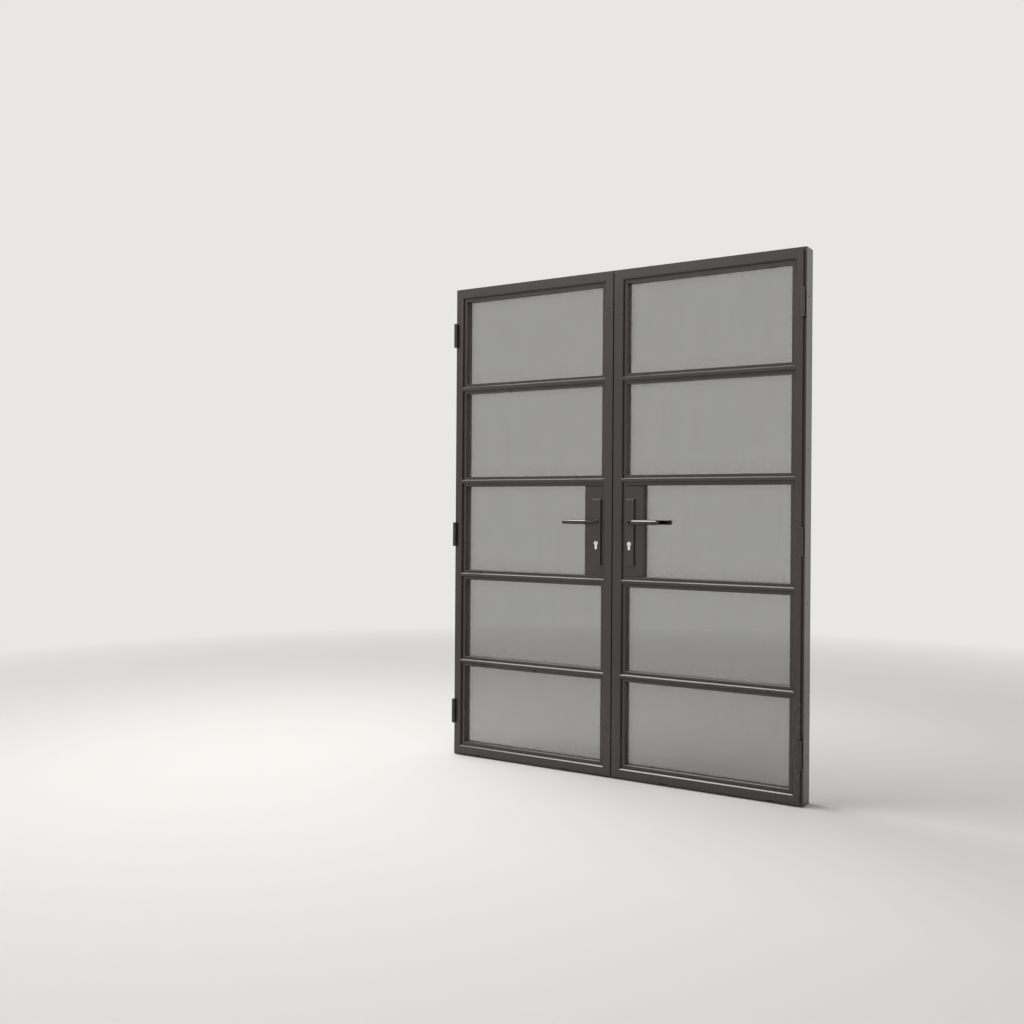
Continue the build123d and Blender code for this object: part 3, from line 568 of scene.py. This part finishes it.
def makeFrameBulb(s):
    low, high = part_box("frame_seal")
    width, base = s["width"], leafY(s["base"])
    rise = leafY(s["top"]) - base
    side = base + rise * s["side"]
    crown = []
    for i in range(s["steps"] + 1):
        across = s["margin"] + (1 - 2 * s["margin"]) * i / s["steps"]
        swell = s["spring"] + (1 - s["spring"]) * math.sin(math.pi * i / s["steps"])
        crown.append((width * across, base + rise * swell))
    work = bmesh.new()
    sweepRing(work, (low.x, high.x, low.z, high.z),
              [(0, base), (0, side)] + crown + [(width, side), (width, base)])
    mesh = bmeshToMesh("frameBulbSeal", work)
    piece = makePiece("frameBulbSeal", mesh, "frame", finishes["gasket"])
    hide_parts("frame_seal")


for side, sign in sides.items():
    makeGlazingSeal(side, glazingSeal)
    makeMeetingSeal(side, sign, meetingLip)
makeFrameBulb(frameBulb)
print("seals made")


# Closing strips behind the lock panels

stripSettings = {"height": 0.0135, "margin": 0.0002, "depth": (44.0, 65.6), "ease": 0.0008, "foldBack": 0.0135}


def stripOutline(z0, z1, depths, ease):
    # Section (y, z) of a strip whose room-side corners are eased
    y0, y1 = (leafY(d) for d in depths)
    return [(y0, z0), (y1 - ease, z0), (y1, z0 + ease), (y1, z1 - ease), (y1 - ease, z1), (y0, z1)]


def makePanelClosers(side, sign, s):
    low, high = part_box(f"{side}_lock_panel")
    near, far = (low.x, high.x - s["foldBack"]) if sign > 0 else (high.x, low.x + s["foldBack"])
    work = bmesh.new()
    for foot in (low.z - s["height"], high.z):
        z0, z1 = foot + s["margin"], foot + s["height"] - s["margin"]
        outline = stripOutline(z0, z1, s["depth"], s["ease"])
        closeRod(work, [[work.verts.new((x, y, z)) for y, z in outline] for x in (near, far)])
    mesh = bmeshToMesh(f"{side}PanelClosers", work)
    makePiece(f"{side}PanelClosers", mesh, f"{side}_leaf", finishes["profile"])


for side, sign in sides.items():
    makePanelClosers(side, sign, stripSettings)
print("panel strips made")


# Levers

leverSettings = {
    "axisX": 0.0727, "height": 1.009,
    "plates": {"outer": (2.5, -1), "inner": (75.0, 1)},  # depth of the seat in mm, and which way it faces
    "seat": 0.0012, "radius": 0.009, "base": 0.006, "heel": 0.002,
    "groove": 0.0005, "grooveAt": 0.0011, "grooveWidth": 0.0008, "grooveFloor": 0.6,
    "neck": 0.007, "neckRun": 0.027, "neckBend": 0.012,
    "grip": 0.0100, "standoff": 0.0325, "length": 0.134, "tip": 0.003,
    "spindle": 0.008, "segments": 32, "bendSteps": 10, "easeSteps": 6, "sharpAngle": 35,
}


def bentLine(points, bend, steps):
    # (point, heading) along a line through (x, out) points whose corners are rounded
    line = [(points[0], math.atan2(points[1][1] - points[0][1], points[1][0] - points[0][0]))]
    for before, here, after in zip(points, points[1:], points[2:]):
        h0 = math.atan2(here[1] - before[1], here[0] - before[0])
        h1 = math.atan2(after[1] - here[1], after[0] - here[0])
        way = math.copysign(bend, h1 - h0)
        reach = bend * math.tan(abs(h1 - h0) / 2)
        x, y = here[0] - reach * math.cos(h0), here[1] - reach * math.sin(h0)
        for i in range(steps + 1):
            h = h0 + (h1 - h0) * i / steps
            spot = (x + way * (math.sin(h) - math.sin(h0)), y + way * (math.cos(h0) - math.cos(h)))
            line.append((spot, h))
    line.append((points[-1], line[-1][1]))
    return line


def easedEnd(ease, steps):
    # (set back from the end, smaller by) round a quarter turn, the full width first
    turns = [math.pi / 2 * i / steps for i in range(steps + 1)]
    return [(ease * (1 - math.sin(t)), ease * (1 - math.cos(t))) for t in turns]


def leverShells(s):
    # Round base, slanted neck and straight grip, each a list of ((x, out), heading, radius)
    outwards, edge, floor = math.pi / 2, s["grooveWidth"] / 2, s["radius"] - s["groove"]
    heel, tip = (easedEnd(s[key], s["easeSteps"]) for key in ("heel", "tip"))
    inner = edge * s["grooveFloor"]
    groove = ((-edge, s["radius"]), (-inner, floor), (inner, floor), (edge, s["radius"]))
    foot = [((0, -s["seat"]), outwards, s["radius"])]
    foot += [((0, s["grooveAt"] + shift), outwards, radius) for shift, radius in groove]
    foot += [((0, s["base"] - back), outwards, s["radius"] - less) for back, less in heel]

    bendEnd = s["neckRun"] + s["neckBend"]
    points = [(0, -s["seat"]), (0, s["base"]), (s["neckRun"], s["standoff"]), (bendEnd, s["standoff"])]
    neck = [(spot, heading, s["neck"]) for spot, heading in bentLine(points, s["neckBend"], s["bendSteps"])]

    ends = [(s["neckRun"] + back, less) for back, less in reversed(heel)]
    ends += [(s["length"] - back, less) for back, less in tip]
    grip = [((x, s["standoff"]), 0, s["grip"] - less) for x, less in ends]
    return foot, neck, grip


def leverPath(s, shell, plate, out):
    path = []
    for (x, rise), heading, radius in shell:
        place = Vector((s["axisX"] + x, leafY(plate) + out * rise, s["height"]))
        path.append((place, Vector((math.cos(heading), out * math.sin(heading), 0)), radius))
    return path


def sweepRound(work, path, segments, sign):
    # Round rod along a path of (place, direction, radius)
    up = Vector((0, 0, 1))
    loops = []
    for point, direction, radius in path:
        across = direction.cross(up)
        loop = []
        for k in range(segments):
            turn = 2 * math.pi * k / segments
            spot = point + across * (radius * math.cos(turn)) + up * (radius * math.sin(turn))
            loop.append(work.verts.new((spot.x * sign, spot.y, spot.z)))
        loops.append(loop)
    closeRod(work, loops)


def makeLevers(side, sign, s):
    work = bmesh.new()
    for plate, out in s["plates"].values():
        for shell in leverShells(s):
            sweepRound(work, leverPath(s, shell, plate, out), s["segments"], sign)
    y0 = leafY(s["plates"]["outer"][0]) + s["seat"]
    y1 = leafY(s["plates"]["inner"][0]) - s["seat"]
    addBlock(work, (sign * s["axisX"], (y0 + y1) / 2, s["height"]), (s["spindle"], y1 - y0, s["spindle"]))
    mesh = bmeshToMesh(f"{side}LeverBars", work)
    piece = makePiece(f"{side}LeverBars", mesh, f"{side}_handle", finishes["lever"])
    mesh.shade_smooth()
    mesh.set_sharp_from_angle(angle=math.radians(s["sharpAngle"]))
    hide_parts(f"{side}_lever")


for side, sign in sides.items():
    makeLevers(side, sign, leverSettings)
print("levers made")


# Screws and bearing rings, set out by a node tree

screwSettings = {
    "segments": 48, "skirt": 0.0002,
    "crown": ((1.0, 0.25), (0.9, 0.75), (0.72, 1.0)),       # shares of the radius and of the rise
    "cross": (0.42, 0.13), "hex": 0.46, "recessTaper": 0.8,  # recess sizes as shares of the radius
}


def crossReach(turn, length, width):
    c, s = abs(math.cos(turn)) + 1e-9, abs(math.sin(turn)) + 1e-9  # never quite nothing to divide by
    return max(min(length / c, width / s), min(length / s, width / c))


def hexReach(turn, flat):
    return flat / math.cos((turn + math.pi / 6) % (math.pi / 3) - math.pi / 6)


def screwHead(name, radius, rise, recess, depth):
    # Head on the XY plane, facing +Z, with the recess sunk into it
    s = screwSettings
    count = s["segments"]
    turns = [2 * math.pi * k / count for k in range(count)]
    if recess == "cross":
        rim = [radius * crossReach(t, *s["cross"]) for t in turns]
    else:
        rim = [radius * hexReach(t, s["hex"]) for t in turns]
    levels = [([radius] * count, -s["skirt"])]
    levels += [([radius * width] * count, rise * height) for width, height in s["crown"]]
    levels += [(rim, rise), ([r * s["recessTaper"] for r in rim], rise - depth)]
    work = bmesh.new()
    closeRod(work, [[work.verts.new((r * math.cos(t), r * math.sin(t), z)) for r, t in zip(radii, turns)]
                    for radii, z in levels])
    return bpy.data.objects.new(name, bmeshToMesh(name, work))


def washer(name, inner, outer, height, segments):
    half = height / 2
    outline = [(inner, -half), (outer, -half), (outer, half), (inner, half)]
    turns = [2 * math.pi * k / segments for k in range(segments)]
    work = bmesh.new()
    closeRing(work, [[work.verts.new((r * math.cos(t), r * math.sin(t), z)) for r, z in outline]
                     for t in turns])
    return bpy.data.objects.new(name, bmeshToMesh(name, work))


def placingTree():
    tree = bpy.data.node_groups.new("setOutParts", "GeometryNodeTree")
    sockets = tree.interface
    sockets.new_socket("Geometry", in_out="INPUT", socket_type="NodeSocketGeometry")
    sockets.new_socket("part", in_out="INPUT", socket_type="NodeSocketObject")
    sockets.new_socket("spin", in_out="INPUT", socket_type="NodeSocketFloat")
    sockets.new_socket("seed", in_out="INPUT", socket_type="NodeSocketInt")
    sockets.new_socket("finish", in_out="INPUT", socket_type="NodeSocketMaterial")
    sockets.new_socket("Geometry", in_out="OUTPUT", socket_type="NodeSocketGeometry")
    given = tree.nodes.new("NodeGroupInput").outputs
    points = addNode(tree, "GeometryNodeMeshToPoints", links={"Mesh": given["Geometry"]})
    turn = addNode(tree, "GeometryNodeInputNamedAttribute", {"Name": "turn"}, data_type="FLOAT_VECTOR")
    shape = addNode(tree, "GeometryNodeObjectInfo", links={"Object": given["part"]})
    placed = addNode(tree, "GeometryNodeInstanceOnPoints", links={
        "Points": points.outputs[0], "Instance": shape.outputs["Geometry"],
        "Rotation": turn.outputs["Attribute"]})
    chance = addNode(tree, "FunctionNodeRandomValue", links={"Max": given["spin"], "Seed": given["seed"]},
                     data_type="FLOAT")
    angle = next(o for o in chance.outputs if o.enabled)
    twist = addNode(tree, "ShaderNodeCombineXYZ", links={2: angle})
    turned = addNode(tree, "GeometryNodeRotateInstances",
                     links={"Instances": placed.outputs[0], "Rotation": twist.outputs[0]})
    real = addNode(tree, "GeometryNodeRealizeInstances", links={0: turned.outputs[0]})
    painted = addNode(tree, "GeometryNodeSetMaterial",
                      links={"Geometry": real.outputs[0], "Material": given["finish"]})
    result = tree.nodes.new("NodeGroupOutput")
    tree.links.new(painted.outputs[0], result.inputs["Geometry"])
    return tree


placing = placingTree()
facingTurns = {  # turns that point a part's +Z another way
    "-x": (0, -math.pi / 2, 0), "+x": (0, math.pi / 2, 0), "-z": (math.pi, 0, 0), "+z": (0, 0, 0),
}


def setOut(name, places, part, finish, body, spin=math.pi, seed=7):
    # Copies of the part at places (point, way that it faces), each turned about its axis by up to the spin
    mesh = bpy.data.meshes.new(name)
    mesh.from_pydata([point for point, _ in places], [], [])
    turns = mesh.attributes.new("turn", "FLOAT_VECTOR", "POINT")
    turns.data.foreach_set("vector", [angle for _, way in places for angle in facingTurns[way]])
    holder = bpy.data.objects.new(name, mesh)
    scene = bpy.context.scene
    for item in (holder, part):
        scene.collection.objects.link(item)
    modifier = holder.modifiers.new("setOut", "NODES")
    modifier.node_group = placing
    ids = {i.name: i.identifier for i in placing.interface.items_tree if i.in_out == "INPUT"}
    for key, value in (("part", part), ("spin", spin), ("seed", seed), ("finish", finish)):
        modifier[ids[key]] = value
    bpy.context.view_layer.update()
    done = bpy.data.meshes.new_from_object(holder.evaluated_get(bpy.context.evaluated_depsgraph_get()))
    holder.modifiers.remove(modifier)
    bpy.data.objects.remove(holder)
    scene.collection.objects.unlink(part)
    if "turn" in done.attributes:
        done.attributes.remove(done.attributes["turn"])
    return makePiece(name, done, body, finish)


lockSettings = {"face": 0.0034, "depth": 40.0, "screws": (0.075, 0.42, 0.66, 1.30, 1.56, 1.925)}
hingeSettings = {
    "heights": (0.190, 0.948, 1.800), "length": 0.098, "gap": 0.0005,
    "axisX": 0.752, "axisY": -0.0547, "pin": 0.0041, "barrel": 0.0074,
    "leafEdge": 0.7512, "wing": 0.0020, "wingDepth": 5.8, "screwRise": (-0.034, 0.0, 0.034), "screwSeed": 11,
    "ringShare": 0.9, "ringSegments": 32,
}
grubSettings = {"up": 0.0031, "sunk": 0.0001, "seed": 3}


def setFaceplateScrews(side, sign, way, screw):
    s = lockSettings
    places = [((sign * s["face"], leafY(s["depth"]), z), way) for z in s["screws"]]
    setOut(f"{side}FaceplateScrews", places, screw, finishes["lock_steel"], f"{side}_leaf")


def setHingeScrews(side, sign, way, screw):
    s = hingeSettings
    x, y = sign * (s["leafEdge"] + s["wing"]), leafY(s["wingDepth"])
    places = [((x, y, z + rise), way) for z in s["heights"] for rise in s["screwRise"]]
    setOut(f"{side}HingeScrews", places, screw, finishes["pin"], f"{side}_leaf", seed=s["screwSeed"])


def setGrubScrews(side, sign, screw):
    s, lever = grubSettings, leverSettings
    z = lever["height"] - lever["radius"] + s["sunk"]
    places = []
    for plate, out in lever["plates"].values():
        places.append(((sign * lever["axisX"], leafY(plate) + out * s["up"], z), "-z"))
    setOut(f"{side}GrubScrews", places, screw, finishes["pin"], f"{side}_handle", seed=s["seed"])


def setBearingRings(s):
    # One in each gap between the three knuckles of a hinge
    ring = washer("bearingRing", s["pin"], s["barrel"], s["gap"] * s["ringShare"], s["ringSegments"])
    knuckle = (s["length"] - 2 * s["gap"]) / 3
    places = []
    for sign in sides.values():
        for z in s["heights"]:
            for turn in (-1, 1):
                places.append(((sign * s["axisX"], s["axisY"], z + turn * (knuckle + s["gap"]) / 2), "+z"))
    setOut("hingeBearingRings", places, ring, nylon, "frame", spin=0.0)
    bpy.data.objects.remove(ring)


plateScrew = screwHead("countersunkScrew", radius=0.0038, rise=0.0004, recess="cross", depth=0.0014)
wingScrew = screwHead("hingeScrew", radius=0.0030, rise=0.0003, recess="cross", depth=0.0011)
grubScrew = screwHead("grubScrew", radius=0.0014, rise=0.0002, recess="hex", depth=0.0010)
for side, sign in sides.items():
    toMiddle, toJamb = ("-x", "+x") if sign > 0 else ("+x", "-x")
    setFaceplateScrews(side, sign, toMiddle, plateScrew)
    setHingeScrews(side, sign, toJamb, wingScrew)
    setGrubScrews(side, sign, grubScrew)
for part in (plateScrew, wingScrew, grubScrew):
    bpy.data.objects.remove(part)
setBearingRings(hingeSettings)
print("screws and rings set out")


# Studio

studioSettings = {
    "floor": "#d9d7d3", "dull": 0.8, "size": 40.0,
    "backdrop": "#e8e7e4", "fade": (2.4, 5.5),  # metres out over which the floor turns to the backdrop
    "worldStrength": 0.25,
    "lamps": {
        "key": {"place": (3.8, -3.4, 4.2), "aim": (0.2, 0.0, 1.0), "size": 2.6, "power": 40},
        "above": {"place": (-1.7, -0.5, 4.4), "aim": (-0.1, -0.1, 0.9), "size": 3.4, "power": 230},
        "sky": {"place": (-1.6, -2.3, 4.4), "aim": (0.0, 0.0, 1.0), "size": 2.0, "power": 100,
                "lights": False},  # only mirrored
        "fill": {"place": (-4.8, -3.4, 2.4), "aim": (0.0, 0.0, 1.0), "size": 2.4, "power": 20,
                 "mirrored": False},
        "back": {"place": (0.5, 4.5, 4.0), "aim": (0.0, 0.0, 1.0), "size": 4.0, "power": 25,
                 "mirrored": False},
    },
}


def makeFloor(s):
    half = s["size"] / 2
    mesh = bpy.data.meshes.new("floor")
    corners = [(-half, -half, 0), (half, -half, 0), (half, half, 0), (-half, half, 0)]
    mesh.from_pydata(corners, [], [(0, 1, 2, 3)])
    floor = bpy.data.objects.new("floor", mesh)
    bpy.context.scene.collection.objects.link(floor)
    material, tree, shader, coords = newMaterial("paleStudioFloor")
    shader.inputs["Base Color"].default_value = linear(s["floor"])
    shader.inputs["Roughness"].default_value = s["dull"]
    distance = addNode(tree, "ShaderNodeVectorMath", links={0: coords}, operation="LENGTH").outputs["Value"]
    glow = addNode(tree, "ShaderNodeEmission", {"Color": linear(s["backdrop"]), "Strength": 1.0})
    showMixed(tree, ramp(tree, distance, s["fade"]), shader, glow)
    mesh.materials.append(material)


def makeWorld(s):
    # Even light, and the backdrop's colour wherever it is seen, mirrored or looked through to
    world = bpy.data.worlds.new("studio")
    bpy.context.scene.world = world
    world.use_nodes = True
    tree = world.node_tree
    tree.nodes.clear()
    light = tree.nodes.new("ShaderNodeLightPath").outputs
    seen = maths(tree, "MAXIMUM", light["Is Camera Ray"],
                 maths(tree, "MAXIMUM", light["Is Glossy Ray"], light["Is Transmission Ray"]))
    plain = addNode(tree, "ShaderNodeBackground", {"Color": (1, 1, 1, 1), "Strength": s["worldStrength"]})
    shown = addNode(tree, "ShaderNodeBackground", {"Color": linear(s["backdrop"]), "Strength": 1.0})
    mixed = addNode(tree, "ShaderNodeMixShader", links={0: seen, 1: plain.outputs[0], 2: shown.outputs[0]})
    output = tree.nodes.new("ShaderNodeOutputWorld")
    tree.links.new(mixed.outputs[0], output.inputs["Surface"])


def makeLamp(name, s):
    lamp = bpy.data.lights.new(name, "AREA")
    lamp.energy = s["power"]
    lamp.size = s["size"]
    holder = bpy.data.objects.new(name, lamp)
    place = Vector(s["place"])
    aim = (place - Vector(s["aim"])).to_track_quat("Z", "Y")
    holder.matrix_world = Matrix.Translation(place) @ aim.to_matrix().to_4x4()
    holder.visible_glossy = s.get("mirrored", True)
    holder.visible_diffuse = s.get("lights", True)
    holder.visible_camera = holder.visible_transmission = False
    bpy.context.scene.collection.objects.link(holder)


makeFloor(studioSettings)
makeWorld(studioSettings)
for name, lampSettings in studioSettings["lamps"].items():
    makeLamp(name, lampSettings)
bpy.context.scene.view_settings.view_transform = "Standard"
print("studio ready")
